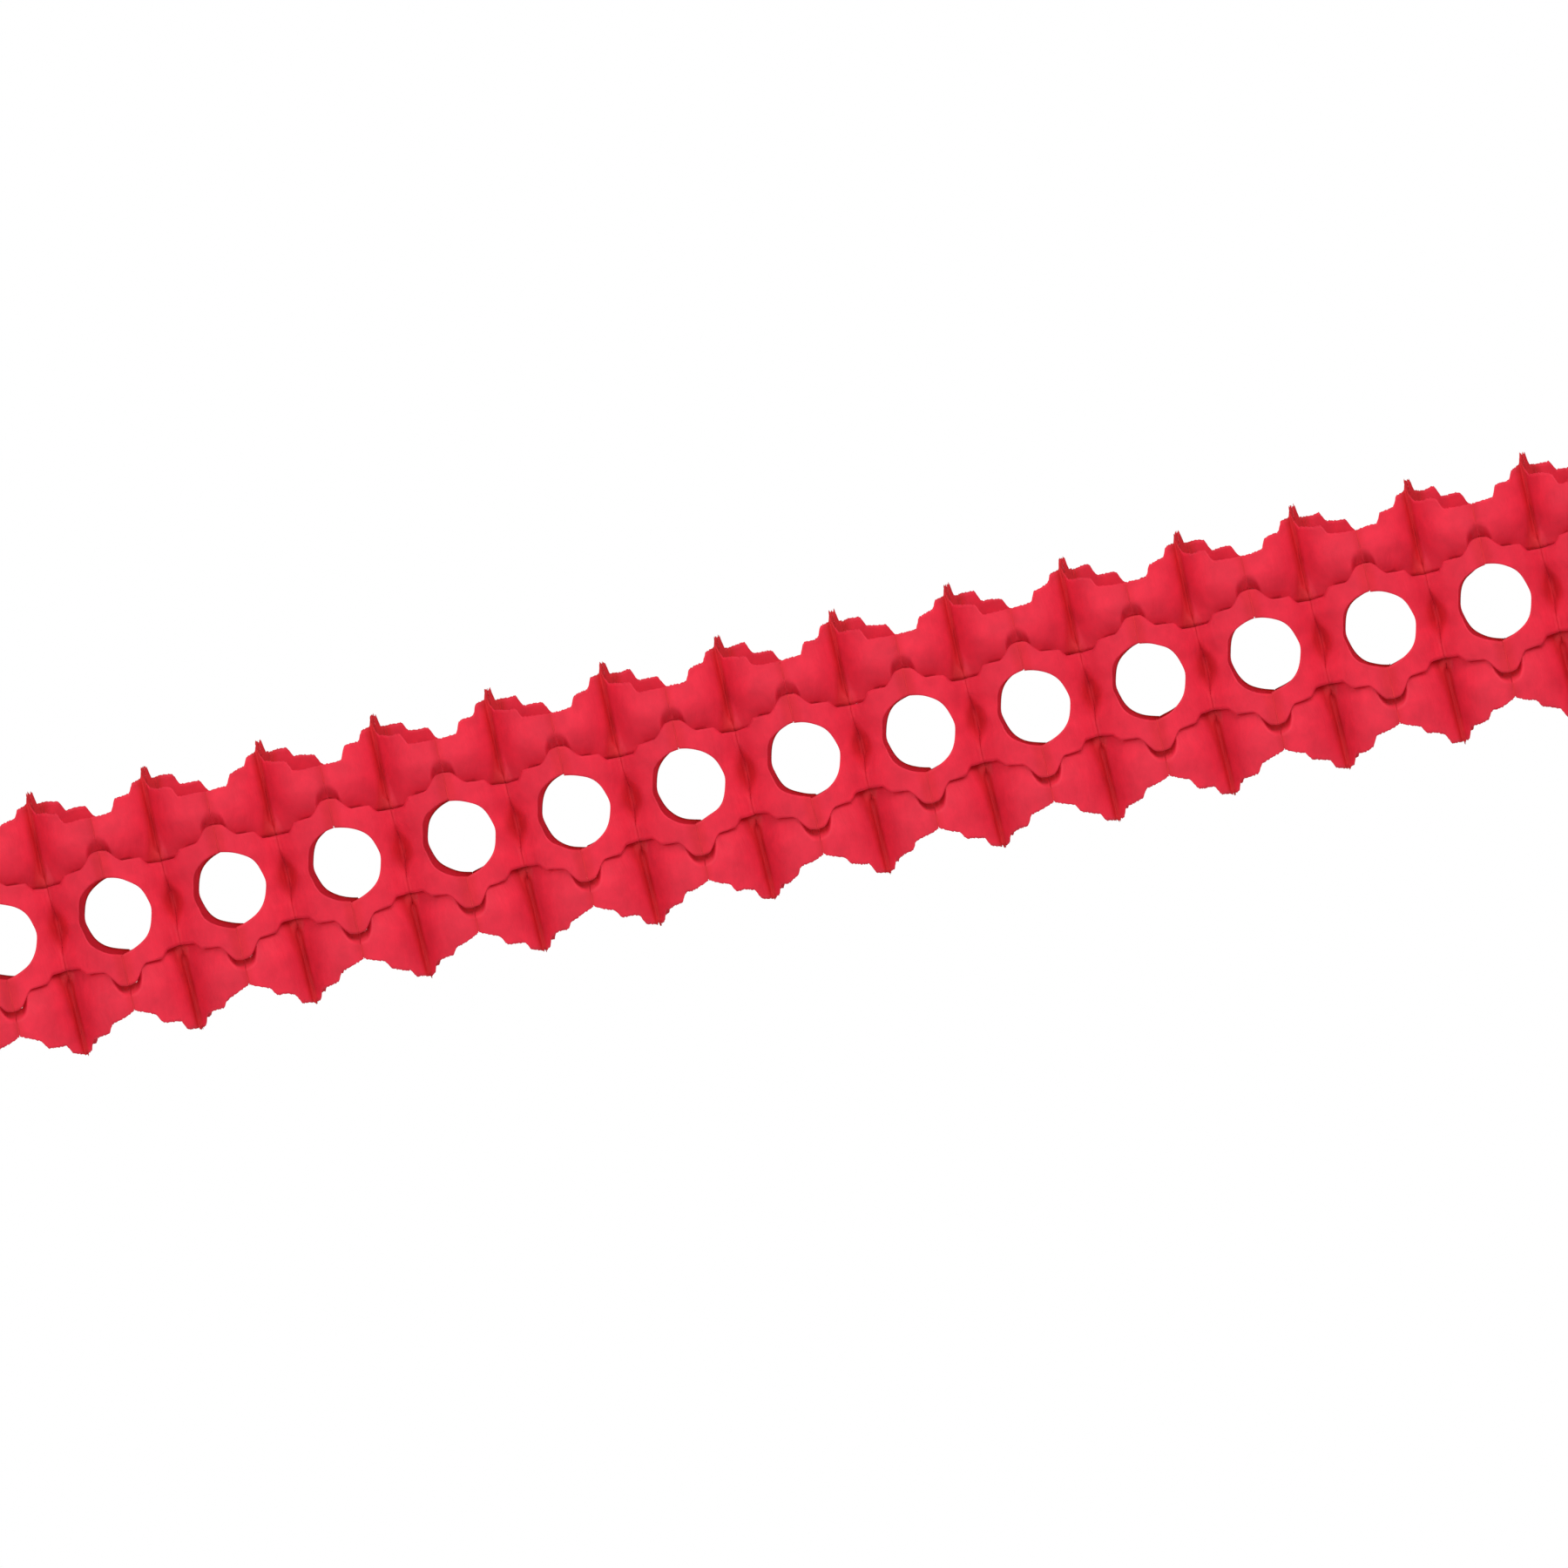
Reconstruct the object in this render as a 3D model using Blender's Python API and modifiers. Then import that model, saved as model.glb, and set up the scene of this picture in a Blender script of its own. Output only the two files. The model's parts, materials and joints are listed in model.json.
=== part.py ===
"""A stretch of tissue paper garland, hung out straight along X.

Thirty die-cut tissue sheets stand between two end cards. Each sheet is folded down its spine into a front
leaf and a back leaf. Spines are glued to the next sheet's spine at the seams on the garland's centre line,
and the outer edges are glued to the sheet on the other side, so the stack opens into a row of cells like a
row of lazy tongs. A round notch in each leaf's outer edge makes half of a see-through hole, and a wavy slit
parts the taut middle arm from the soft flap above it and the one below.
"""

from math import cos, pi, radians, sin

import bpy
from mathutils import Vector
from mathutils.geometry import delaunay_2d_cdt

INSIDE_TRIANGLES = 1              # the triangulation keeps what lies inside the outline

# The opened garland
CELLS = 15
REST_ANGLE = radians(42.5)        # between a leaf and the garland's length, as hung
LEAF_SPAN = 0.042                 # from the spine seam's axis to the edge seam's axis
PAPER = 0.00025                   # thickness of a leaf, which stands in for softer tissue
SEAM_CLEARANCE = 0.0007           # from a seam's axis to the paper beside it

# The slit between the flap and the middle arm, above and below the leaf's middle
ARM_SPINE_CREST = 0.0222
ARM_MIDDLE_CREST = 0.0275
TAB_TOP = 0.0336                  # at the glued edge
ARM_STEP = 0.0019
ARM_BREAK_SHARES = (0.31, 0.79)   # of the leaf's span
SLIT_END = 0.0035                 # from the spine seam's axis
KERF = 0.0005                     # width of the slit

# A flap's outer side, each size on top of the one before: up the edge first, then up the scallops
POCKET_RISE = 0.0099              # of the loose corner, from the slit to the glue
GLUED_RISE = 0.0079               # of the glued part of the edge
EDGE_ROUND = 0.0014               # corner between the edge and its scallop
MIDDLE_RISE = 0.0074              # from the scallop at the edge to the middle one
SPINE_RISE = 0.0060               # from the middle scallop to the one at the spine
TIP_RISE = 0.0038                 # of the glued tip over the scallop beside it
TIP_WIDTH = 0.0024                # glued tip, at its foot
TIP_TOP_SHARE = 0.6               # of the tip's width, at its top
CREST_CROWN = 0.0006              # rise of a scallop's middle over its shoulders
CREST_STEP = 0.0016               # half the width of the step between two scallops
CREST_BREAK_SHARES = (0.25, 0.6)  # of the leaf's span, where a scallop ends
POCKET = 0.0030                   # how far the loose corner stands back from the edge

# The notch that makes half of a hole
HOLE_HALF_HEIGHT = 0.0204
HOLE_REACH = 0.0272               # into the leaf, from the edge seam's axis
NOTCH_STEPS = 5                   # facets in a quarter of the notch

# How a leaf swells, at the middle of its span
FLAP_SWELL = 0.0038               # of the belly, outwards
FLAP_TUCK = 0.0038                # of the flap's edge behind the arm, inwards
CREST_LEAN = 0.0012               # from the belly back to the scalloped edge
ARM_SWELL = 0.0015
BELLY_HEIGHT_SHARE = 0.42         # of the flap's height, from the slit up
BELLY_SPAN_SHARES = (0.26, 0.5, 0.74)

# The end cards
CARD = 0.0008
CARD_CLEARANCE = 0.0003           # from the first seam's axis to the card
THREAD_HOLE_RADIUS = 0.0018
THREAD_HOLE_SIDES = 12
THREAD_HOLE_OFFSET = 0.0100       # from the card's upright centre line, one hole to each side
THREAD_HOLE_DROP = 0.0132         # below the card's middle scallop
OVERRUN = 0.0010                  # of a cutter past the face that it cuts

TISSUE_RED = (0.72, 0.03, 0.05, 1.0)
CARD_WHITE = (0.82, 0.80, 0.76, 1.0)

HALF_PITCH = LEAF_SPAN * cos(REST_ANGLE)
HALF_DEPTH = LEAF_SPAN * sin(REST_ANGLE)
PAPER_EDGE = LEAF_SPAN - SEAM_CLEARANCE
GLUE_FOOT = TAB_TOP + POCKET_RISE
EDGE_CREST = GLUE_FOOT + GLUED_RISE + EDGE_ROUND
MIDDLE_CREST = EDGE_CREST + MIDDLE_RISE
SPINE_CREST = MIDDLE_CREST + SPINE_RISE
TIP_TOP = SPINE_CREST + TIP_RISE


def step_points(place, reach, height_before, height_after):
    """Three points of a rounded step at one place along an edge, from one crest's height to the next one's."""
    middle = (height_before + height_after) / 2
    return [(place - reach, height_before), (place, middle), (place + reach, height_after)]


def crest_edge(inner):
    """The flaps' scalloped outer edge, from the glued tip at the spine to the glued edge."""
    first, second = (share * LEAF_SPAN for share in CREST_BREAK_SHARES)
    points = [(inner, TIP_TOP), (TIP_WIDTH * TIP_TOP_SHARE, TIP_TOP), (TIP_WIDTH, SPINE_CREST)]
    points += step_points(first, CREST_STEP, SPINE_CREST, MIDDLE_CREST)
    points.append(((first + second) / 2, MIDDLE_CREST + CREST_CROWN))
    points += step_points(second, CREST_STEP, MIDDLE_CREST, EDGE_CREST)
    points.append(((second + PAPER_EDGE) / 2, EDGE_CREST + CREST_CROWN))
    points += [(PAPER_EDGE - EDGE_ROUND, EDGE_CREST), (PAPER_EDGE, EDGE_CREST - EDGE_ROUND)]
    return points


def slit_line():
    """The middle of the slit, from its inner end to the glued edge: three crests that climb outwards."""
    first, second = (share * LEAF_SPAN for share in ARM_BREAK_SHARES)
    return [
        (SLIT_END, ARM_SPINE_CREST),
        (first - ARM_STEP, ARM_SPINE_CREST),
        (first + ARM_STEP, ARM_MIDDLE_CREST),
        (second - ARM_STEP, ARM_MIDDLE_CREST),
        (second + ARM_STEP, TAB_TOP),
        (PAPER_EDGE, TAB_TOP),
    ]


def height_on(line, along):
    """The height of a line of points at a distance from the spine."""
    if along <= line[0][0]:
        return line[0][1]
    for (s_a, z_a), (s_b, z_b) in zip(line, line[1:]):
        if along <= s_b:
            return z_a + (z_b - z_a) * (along - s_a) / (s_b - s_a)
    return line[-1][1]


def notch_edge():
    """A quarter of the notch, from the foot of the tab to the notch's deepest point, on an ellipse."""
    points = []
    for step in range(NOTCH_STEPS + 1):
        turn = pi / 2 * step / NOTCH_STEPS
        reach = LEAF_SPAN - HOLE_REACH * sin(turn)
        points.append((min(reach, PAPER_EDGE), HOLE_HALF_HEIGHT * cos(turn)))
    return points


def upper_outline(inner):
    """A leaf's outline above its middle, from the tip at the spine to the notch's deepest point."""
    line = slit_line()
    corner = PAPER_EDGE - POCKET
    flap_side = [(corner, height_on(line, corner) + KERF / 2)]
    flap_side += [(s, z + KERF / 2) for s, z in reversed(line[1:-1])]
    arm_side = [(s, z - KERF / 2) for s, z in line[1:]]
    return crest_edge(inner) + [(PAPER_EDGE, GLUE_FOOT)] + flap_side + line[:1] + arm_side + notch_edge()


def leaf_outline(inner):
    """A leaf's outline from the top tip round its outer side to the bottom tip."""
    upper = upper_outline(inner)
    return upper + [(s, -z) for s, z in reversed(upper[:-1])]


def belly_points():
    """Points along the belly of the upper and the lower flap, where the paper stands out most."""
    points = []
    for share in BELLY_SPAN_SHARES:
        along = share * LEAF_SPAN
        foot, crest = height_on(slit_line(), along), height_on(crest_edge(0.0), along)
        height = foot + BELLY_HEIGHT_SHARE * (crest - foot)
        points += [(along, height), (along, -height)]
    return points


def swell(along, height):
    """How far the paper stands out from the flat leaf: nothing at both seams, most at half the span.

    A flap is tucked in at the slit, comes out to its belly, and leans back a little to its crest.
    """
    across = sin(pi * along / LEAF_SPAN) ** 2
    up, foot = abs(height), height_on(slit_line(), along)
    if up < foot:
        return ARM_SWELL * across
    rise = (up - foot) / (height_on(crest_edge(0.0), along) - foot)
    if rise < BELLY_HEIGHT_SHARE:
        return (FLAP_SWELL * rise / BELLY_HEIGHT_SHARE - FLAP_TUCK * (1 - rise / BELLY_HEIGHT_SHARE)) * across
    lean = (rise - BELLY_HEIGHT_SHARE) / (1 - BELLY_HEIGHT_SHARE)
    return (FLAP_SWELL - CREST_LEAN * lean) * across


def flat_sheet_mesh(name, outline, inner_points, material):
    """A flat sheet inside an outline in the XZ plane, in triangles that also meet at the inner points."""
    flat = [Vector(point) for point in outline + inner_points]
    ring = list(range(len(outline)))
    edges = [(corner, corner - 1) for corner in ring[1:]] + [(ring[0], ring[-1])]
    spine = [corner for corner in ring if outline[corner][0] == 0.0]
    if len(spine) == 2:
        edges.append(tuple(spine))
    corners, _, triangles, *_ = delaunay_2d_cdt(flat, edges, [ring], INSIDE_TRIANGLES, 0.0)
    mesh = bpy.data.meshes.new(name)
    mesh.from_pydata([(x, 0.0, z) for x, z in corners], [], triangles)
    mesh.materials.append(material)
    return mesh


def leaf_mesh(name, side, material):
    """A single leaf with its spine at the origin, its span along +X and its swell towards side times Y."""
    mesh = flat_sheet_mesh(name, leaf_outline(SEAM_CLEARANCE), belly_points(), material)
    for vertex in mesh.vertices:
        vertex.co.y = side * swell(vertex.co.x, vertex.co.z)
    return mesh


def both_ways(half, inner_points):
    """A half outline from (0, top) to (0, bottom) with its mirror image, and the same for inner points."""
    other = [(-s, z) for s, z in reversed(half[1:-1])]
    return half + other, inner_points + [(-s, z) for s, z in inner_points]


def glued_pair_mesh(name, side, material):
    """Two leaves in one line through the spine, glued to each other there, as one piece."""
    mesh = flat_sheet_mesh(name, *both_ways(leaf_outline(0.0), belly_points()), material)
    for vertex in mesh.vertices:
        out = 1 if vertex.co.x > 0 else -1
        vertex.co.y = out * side * swell(abs(vertex.co.x), vertex.co.z)
    return mesh


def card_mesh(name, material):
    """An end card: the sheets' outer outline laid flat, without slits, in the XZ plane."""
    quarter = crest_edge(0.0) + notch_edge()
    half = quarter + [(s, -z) for s, z in reversed(quarter[:-1])]
    return flat_sheet_mesh(name, *both_ways(half, []), material)


def thicken(thing, thickness):
    """Give an open surface its thickness, half to each side."""
    wall = thing.modifiers.new("Thickness", "SOLIDIFY")
    wall.thickness = thickness
    wall.offset = 0.0


def plain_material(name, colour, roughness):
    """A plain Principled material."""
    material = bpy.data.materials.new(name)
    material.use_nodes = True
    shader = material.node_tree.nodes["Principled BSDF"]
    shader.inputs["Base Color"].default_value = colour
    shader.inputs["Roughness"].default_value = roughness
    shader.inputs["Metallic"].default_value = 0.0
    return material


def hinge_empty(name, x, y):
    """An empty on a vertical hinge axis, which carries what turns there."""
    empty = bpy.data.objects.new(name, None)
    empty.empty_display_size = LEAF_SPAN
    empty.location = (x, y, 0.0)
    PARTS.objects.link(empty)
    return empty


def place_leaf(name, mesh, carrier, seam_x, heading):
    """One leaf, or glued pair, with its spine on a seam and its span along a heading about Z."""
    leaf = bpy.data.objects.new(name, mesh)
    leaf.parent = carrier
    leaf.location = (seam_x - carrier.location.x, -carrier.location.y, 0.0)
    leaf.rotation_euler = (0.0, 0.0, heading)
    PARTS.objects.link(leaf)
    thicken(leaf, PAPER)


def punch_hole(card, x, y, z):
    """A round hole along X through a card."""
    bpy.ops.mesh.primitive_cylinder_add(
        vertices=THREAD_HOLE_SIDES, radius=THREAD_HOLE_RADIUS, depth=CARD + 2 * OVERRUN,
        location=(x, y, z), rotation=(0.0, pi / 2, 0.0))
    punch = bpy.context.object
    punch.name = f"{card.name}_punch"
    for collection in punch.users_collection:
        collection.objects.unlink(punch)
    CUTTERS.objects.link(punch)
    punch.hide_render = True
    punch.display_type = "WIRE"
    hole = card.modifiers.new("Thread hole", "BOOLEAN")
    hole.operation = "DIFFERENCE"
    hole.solver = "EXACT"
    hole.object = punch


def place_card(name, mesh, x, carrier):
    """An end card square to the garland's length, with a hole each side of the spine for a hanging thread."""
    card = bpy.data.objects.new(name, mesh)
    card.parent = carrier
    card.location = (x - carrier.location.x, 0.0, 0.0)
    card.rotation_euler = (0.0, 0.0, pi / 2)
    PARTS.objects.link(card)
    thicken(card, CARD)
    for side in (-1, 1):
        punch_hole(card, x, side * THREAD_HOLE_OFFSET, MIDDLE_CREST - THREAD_HOLE_DROP)


def seam_x(number):
    """Where a spine seam stands: seam 0 and the last one carry the end cards."""
    return (2 * number - CELLS) * HALF_PITCH


def build_garland():
    """All the leaves on their hinges, and the two end cards."""
    tissue = plain_material("red_tissue", TISSUE_RED, 0.85)
    board = plain_material("end_card_board", CARD_WHITE, 0.7)
    single = {1: leaf_mesh("leaf_a", 1, tissue), -1: leaf_mesh("leaf_b", -1, tissue)}
    pair = glued_pair_mesh("leaf_pair", 1, tissue)
    card = card_mesh("end_card", board)
    last = CELLS
    paired_seams = (1, last - 1)

    left = hinge_empty("left_end", seam_x(0), 0.0)
    place_card("end_card_left", card, seam_x(0) - CARD_CLEARANCE - CARD / 2, left)
    for number in range(last + 1):
        x = seam_x(number)
        before, after = 2 * number, 2 * number + 1
        edge_hinge = hinge_empty(f"edge_hinge_{number:02d}", x - HALF_PITCH, -HALF_DEPTH) if number else None
        spine_hinge = hinge_empty(f"spine_hinge_{number:02d}", x, 0.0)
        if number in paired_seams:
            place_leaf(f"sheet_{before:02d}_front_{after:02d}_back", pair, edge_hinge, x, pi + REST_ANGLE)
        elif number:
            place_leaf(f"sheet_{before:02d}_front_leaf", single[1], edge_hinge, x, pi + REST_ANGLE)
        if number:
            place_leaf(f"sheet_{before:02d}_back_leaf", single[-1], spine_hinge, x, pi - REST_ANGLE)
        if number < last:
            place_leaf(f"sheet_{after:02d}_front_leaf", single[-1], spine_hinge, x, -REST_ANGLE)
        if number < last and number not in paired_seams:
            carrier = edge_hinge or left
            place_leaf(f"sheet_{after:02d}_back_leaf", single[1], carrier, x, REST_ANGLE)
    place_card("end_card_right", card, seam_x(last) + CARD_CLEARANCE + CARD / 2, spine_hinge)


for old in list(bpy.data.objects):
    bpy.data.objects.remove(old, do_unlink=True)

PARTS = bpy.data.collections.new("tissue_paper_garland")
CUTTERS = bpy.data.collections.new("cutters")
bpy.context.scene.collection.children.link(PARTS)
bpy.context.scene.collection.children.link(CUTTERS)
build_garland()
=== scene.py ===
"""The looks of a red tissue paper garland, laid out as a Blender add-on and run as a script.

The garland is a row of die-cut leaves. Four leaves meet at each spine seam, where a glued strip of tissue
stands between the front crease and the back crease, and two leaves meet at each edge seam, whose glued lip
stands proud. Every leaf is four grids, two flaps and two halves of the arm, which are bent by the formulas of
leaf_surface and welded. It rides on the body that carries it.
"""

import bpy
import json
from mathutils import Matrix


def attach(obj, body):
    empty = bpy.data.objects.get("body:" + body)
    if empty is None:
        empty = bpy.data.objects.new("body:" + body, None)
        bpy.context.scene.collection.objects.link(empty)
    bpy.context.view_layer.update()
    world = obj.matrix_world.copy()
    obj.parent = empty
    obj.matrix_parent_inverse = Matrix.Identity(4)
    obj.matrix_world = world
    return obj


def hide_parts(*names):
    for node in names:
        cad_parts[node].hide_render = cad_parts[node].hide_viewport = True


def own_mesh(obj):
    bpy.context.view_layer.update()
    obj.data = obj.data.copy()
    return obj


bl_info = {
    "name": "Tissue garland",
    "version": (1, 0, 0),
    "blender": (4, 5, 0),
    "location": "3D View > Sidebar > Garland",
    "description": "Dresses an opened tissue garland with creased leaves, glued lips, end cards and a studio",
    "category": "Object",
}

import json

import bmesh
import bpy
import numpy as np
from bpy.props import FloatProperty, FloatVectorProperty, IntProperty, PointerProperty
from mathutils import Matrix, Vector

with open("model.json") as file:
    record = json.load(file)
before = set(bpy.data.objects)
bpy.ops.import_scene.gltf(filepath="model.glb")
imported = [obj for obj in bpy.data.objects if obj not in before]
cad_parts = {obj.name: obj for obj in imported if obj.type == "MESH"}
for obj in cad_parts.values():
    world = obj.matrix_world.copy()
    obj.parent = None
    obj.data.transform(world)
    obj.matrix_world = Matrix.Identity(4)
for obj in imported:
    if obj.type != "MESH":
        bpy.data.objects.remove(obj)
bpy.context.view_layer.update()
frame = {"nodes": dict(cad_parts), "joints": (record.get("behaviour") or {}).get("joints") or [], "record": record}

MM = 0.001
JOINTS = {joint["name"]: joint for joint in frame["joints"]}
BODIES = frame["record"]["behaviour"]["bodies"]
BODY_OF = {node: body for body, nodes in BODIES.items() for node in nodes}
CELLS = sum(name.startswith("edge_hinge") for name in JOINTS)

# Seam places, from the joints
FIRST_SEAM = Vector(JOINTS["fold"]["pos_m"])
FIRST_EDGE = Vector(JOINTS["edge_hinge_01"]["pos_m"])
HALF_PITCH = FIRST_EDGE.x - FIRST_SEAM.x
HALF_DEPTH = FIRST_SEAM.y - FIRST_EDGE.y
LEAF_SPAN = float(np.hypot(HALF_PITCH, HALF_DEPTH))
SLOPE_COS = HALF_PITCH / LEAF_SPAN
SLOPE_SIN = HALF_DEPTH / LEAF_SPAN


class GarlandSizes(bpy.types.PropertyGroup):
    """Sizes of the tissue leaves, in metres."""

    wall: FloatProperty(name="Tissue thickness", description="Thickness of a leaf's shell",
                        default=0.08 * MM, unit="LENGTH")
    spine_crest: FloatProperty(name="Spine scallop", description="Height of the scallop beside the spine",
                               default=66.6 * MM, unit="LENGTH")
    middle_crest: FloatProperty(name="Middle scallop", description="Height of the middle scallop",
                                default=60.2 * MM, unit="LENGTH")
    edge_crest: FloatProperty(name="Edge scallop", description="Height of the scallop at the glued edge",
                              default=53.4 * MM, unit="LENGTH")
    scallop_fall: FloatProperty(name="Scallop fall", description="Fall of a scallop from its spine side",
                                default=2.4 * MM, unit="LENGTH")
    top_tip: FloatProperty(name="Top tip", description="Height of the blunt glued tip above the middle",
                           default=72.1 * MM, unit="LENGTH")
    tip_width: FloatProperty(name="Tip width", description="Half width of the glued tip at its foot",
                             default=4.0 * MM, unit="LENGTH")
    notch_height: FloatProperty(name="Notch height", description="Half height of the round notch",
                                default=19.6 * MM, unit="LENGTH")
    hole_width: FloatProperty(name="Hole half width", description="From the hole's middle to its side",
                              default=17.6 * MM, unit="LENGTH")
    belly: FloatProperty(name="Belly", description="How far a flap's belly stands out",
                         default=4.4 * MM, unit="LENGTH")
    tuck: FloatProperty(name="Tuck", description="How far a flap's edge is tucked in behind the arm",
                        default=3.1 * MM, unit="LENGTH")
    pocket: FloatProperty(name="Pocket", description="How far a flap's loose corner stands back",
                          default=6.8 * MM, unit="LENGTH")
    lip: FloatProperty(name="Glued lip", description="Width of the glued lip at an edge seam",
                       default=0.5 * MM, unit="LENGTH")
    seed: IntProperty(name="Seed", description="Seed of the hand-cut unevenness", default=7)


class GarlandColours(bpy.types.PropertyGroup):
    """Colours of the tissue, the cards and the floor, as linear values."""

    tissue: FloatVectorProperty(name="Tissue", description="Colour of light thrown back by the tissue",
                                subtype="COLOR", size=4, min=0.0, max=1.0, default=(0.82, 0.024, 0.062, 1.0))
    glow: FloatVectorProperty(name="Tissue glow", description="Colour of light that comes through the tissue",
                              subtype="COLOR", size=4, min=0.0, max=1.0, default=(0.90, 0.013, 0.028, 1.0))
    lip: FloatVectorProperty(name="Glued lip", description="Colour of the doubled, glued tissue",
                             subtype="COLOR", size=4, min=0.0, max=1.0, default=(0.82, 0.024, 0.050, 1.0))
    card: FloatVectorProperty(name="End card", description="Colour of the uncoated board",
                              subtype="COLOR", size=4, min=0.0, max=1.0, default=(0.80, 0.77, 0.71, 1.0))
    floor: FloatVectorProperty(name="Floor", description="Colour of the floor and the backdrop",
                               subtype="COLOR", size=4, min=0.0, max=1.0, default=(1.0, 1.0, 1.0, 1.0))


class GarlandStudio(bpy.types.PropertyGroup):
    """The camera and the lamps."""

    azimuth: FloatProperty(name="Azimuth", description="Turn of the camera about the garland's upright axis",
                           default=np.radians(3.2), subtype="ANGLE")
    elevation: FloatProperty(name="Elevation", description="How far the camera looks down",
                             default=np.radians(1.3), subtype="ANGLE")
    climb: FloatProperty(name="Climb", description="How steeply the garland rises to the right",
                         default=np.radians(12.87), subtype="ANGLE")
    distance: FloatProperty(name="Distance", description="From the camera to the garland",
                            default=12.0, unit="LENGTH")
    frame_width: FloatProperty(name="Frame width", description="Width of the picture at the garland",
                               default=0.8235, unit="LENGTH")
    key_power: FloatProperty(name="Key lamp", description="Power of the key lamp, in watts", default=51.0)
    fill_strength: FloatProperty(name="Fill", description="Strength of the even light from all round",
                                 default=0.85)


# Shares of the leaf's span, from the spine, where the scallops end, for (front, upper, over the root strip)
CREST_BREAK_SHARES = {
    (True, True, True): (0.117, 0.585), (True, True, False): (0.33, 0.655),
    (True, False, True): (0.18, 0.605), (True, False, False): (0.32, 0.68),
    (False, True, True): (0.36, 0.68), (False, True, False): (0.52, 0.88),
    (False, False, True): (0.245, 0.60), (False, False, False): (0.245, 0.60),
}
# How much lower than the tallest flap a leaf's scallops stand, and their falls as shares of the scallop fall,
# for (front, upper) flaps
SCALLOP_PLACES = {
    (True, True): (0.0, (0.9, 0.9, 0.3)), (True, False): (-0.8 * MM, (0.6, 1.0, 1.4)),
    (False, True): (1.0 * MM, (0.1, 0.3, 1.0)), (False, False): (2.9 * MM, (0.1, 0.3, 1.0)),
}
CREST_STEPS = (2.3 * MM, 2.3 * MM)
TIP_TOP_SHARE = 0.5
LOWER_TIP_DROP = 0.8 * MM
LOWER_EDGE_DIP = 1.8 * MM
CREST_END_REACH = 6.0 * MM

# The slits between the arm and the flaps: the heights of their three stairs, the steps between them, how far
# from the spine they end, and the power of the even curve along them
UPPER_SLIT = (22.0 * MM, 27.2 * MM, 34.6 * MM)
LOWER_SLIT = (23.2 * MM, 28.0 * MM, 37.0 * MM)
SLIT_BREAK_SHARES = (0.42, 0.81)
SLIT_STEPS = (2.6 * MM, 4.6 * MM)
SLIT_RISE = 1.2 * MM
SLIT_END = 4.0 * MM
SLIT_CURVE = 1.6
KERF = 0.12 * MM

# The round notch: its power, its peak for upper and lower halves, and how much wider (or, below 0, narrower)
# than the hole's half width it is cut, for (front, over the root strip)
NOTCH_POWER = 1.85
NOTCH_PEAKS = {True: 0.4 * MM, False: 1.0 * MM}
NOTCH_PEAK_REACH = 4.5 * MM
HOLE_MARGINS = {
    (True, True): -0.6 * MM, (True, False): 0.2 * MM,
    (False, True): 0.2 * MM, (False, False): -0.9 * MM,
}

# Hand-cut unevenness: slow waves along each cut, and quick ones that grow to torn fibres beside the spine
CREST_WAVE = 0.8 * MM
SLIT_WAVE = 0.35 * MM
NOTCH_WAVE = 0.5 * MM
NOTCH_VARIATION = 0.03
SLOW_WAVES = 3
WAVE_SIZE_SHARES = (0.3, 1.0)
WAVE_HALF_TURNS = (1.5, 3.0)
FRAY_LENGTHS = (1.1 * MM, 1.9 * MM, 3.3 * MM)
FRAY_LENGTH_SHARES = (0.85, 1.15)
CUT_FRAY = 0.13 * MM
TORN_FRAY = 0.36 * MM
TORN_WIDTH = 1.2 * MM
TORN_FADE = 2.6 * MM

# Clearances at the seams
ROOT_CLEARANCE = 0.08 * MM
ROOT_OVERLAP = 0.05 * MM
UNDER_CLEARANCE = 0.3 * MM
EDGE_CLEARANCE = 0.18 * MM

# The grid of a panel, with closer columns from the notch's end and from the spine
COLUMNS = 66
FLAP_ROWS = 20
ARM_ROWS = 12
NOTCH_COLUMNS = (0.0, 0.06 * MM, 0.22 * MM, 0.45 * MM)
ROOT_COLUMNS = (0.8 * MM, 1.3 * MM, 1.7 * MM, 2.0 * MM, 2.3 * MM, 2.6 * MM, 3.0 * MM)
COLUMN_DECIMALS = 6
LEAST_COLUMN = 0.03 * MM
SAME_PLACE = 0.001 * MM

# Where the creases stand, from the spine seam: sideways and in depth. The arm's stand at its middle and at
# its edges, and a flap's at the slit and at the tip, for (front, upper) flaps.
ARM_MIDDLE_CREASE = (0.3 * MM, 1.0 * MM)
ARM_EDGE_CREASE = (1.3 * MM, 7.0 * MM)
ARM_CREASE_START = 3.0 * MM
ARM_CREASE_REACH = 13.0 * MM
FLAP_CREASES = {
    (True, True): ((2.2 * MM, 2.6 * MM), (1.8 * MM, 2.2 * MM)),
    (True, False): ((1.6 * MM, 2.0 * MM), (1.0 * MM, 1.4 * MM)),
    (False, True): ((4.0 * MM, 4.5 * MM), (4.0 * MM, 4.5 * MM)),
    (False, False): ((2.0 * MM, 2.6 * MM), (1.5 * MM, 2.6 * MM)),
}
OWN_CREASE_HEIGHT = 8.0 * MM
OWN_CREASE_REACH = 3.0 * MM
TIP_CREASE_START = 26.0 * MM
TIP_CREASE_REACH = 40.0 * MM
CREASE_EASE = 3.0 * MM
ROOT_BULGE_SHARE = 0.1
CREASE_LIFT = 0.11 * MM
FLOOR_DEPTH = 0.95 * MM
FLOOR_REACH = 3.2 * MM

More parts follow.
